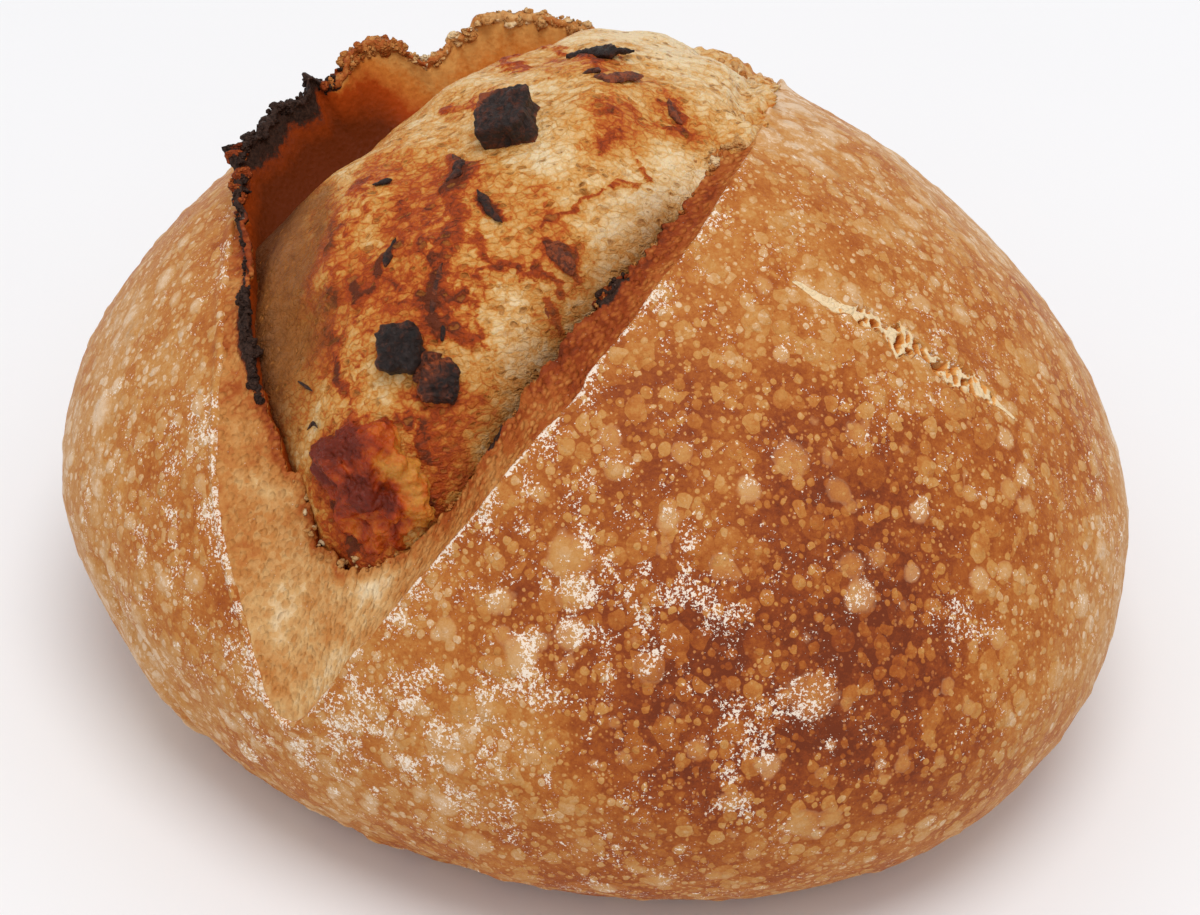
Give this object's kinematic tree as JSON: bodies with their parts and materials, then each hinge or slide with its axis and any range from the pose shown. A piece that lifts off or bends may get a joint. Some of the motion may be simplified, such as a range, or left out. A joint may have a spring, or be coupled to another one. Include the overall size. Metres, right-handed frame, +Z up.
{
  "type": "sourdough loaf",
  "caption": "Round sourdough loaf with one slash burst open across the crown, a lifted ear and charred filling baked into the crumb.",
  "frame": {"origin": "centre of the bounding box at the level of the flat base", "axes": "+Z up through the crown, -Y towards the low end of the slash, +X to the right of the slash"},
  "size_m": [0.1801, 0.1773, 0.1123],
  "materials": {
    "crust": "baked crust, golden tan to red brown, matte to satin, blistered and dusted with flour",
    "crumb": "open cream crumb with fine pores, stained orange and red brown by the filling",
    "charred_filling": "charred, nearly black, rough with a faint gloss",
    "melted_filling": "melted and baked, red orange, slightly glossy"
  },
  "bodies": {
    "root": {"loaf": "crust", "charred_cube_crown": "charred_filling", "charred_cube_front": "charred_filling", "charred_cube_low": "charred_filling", "charred_strip": "charred_filling", "melted_lump": "melted_filling"}
  },
  "joints": []
}
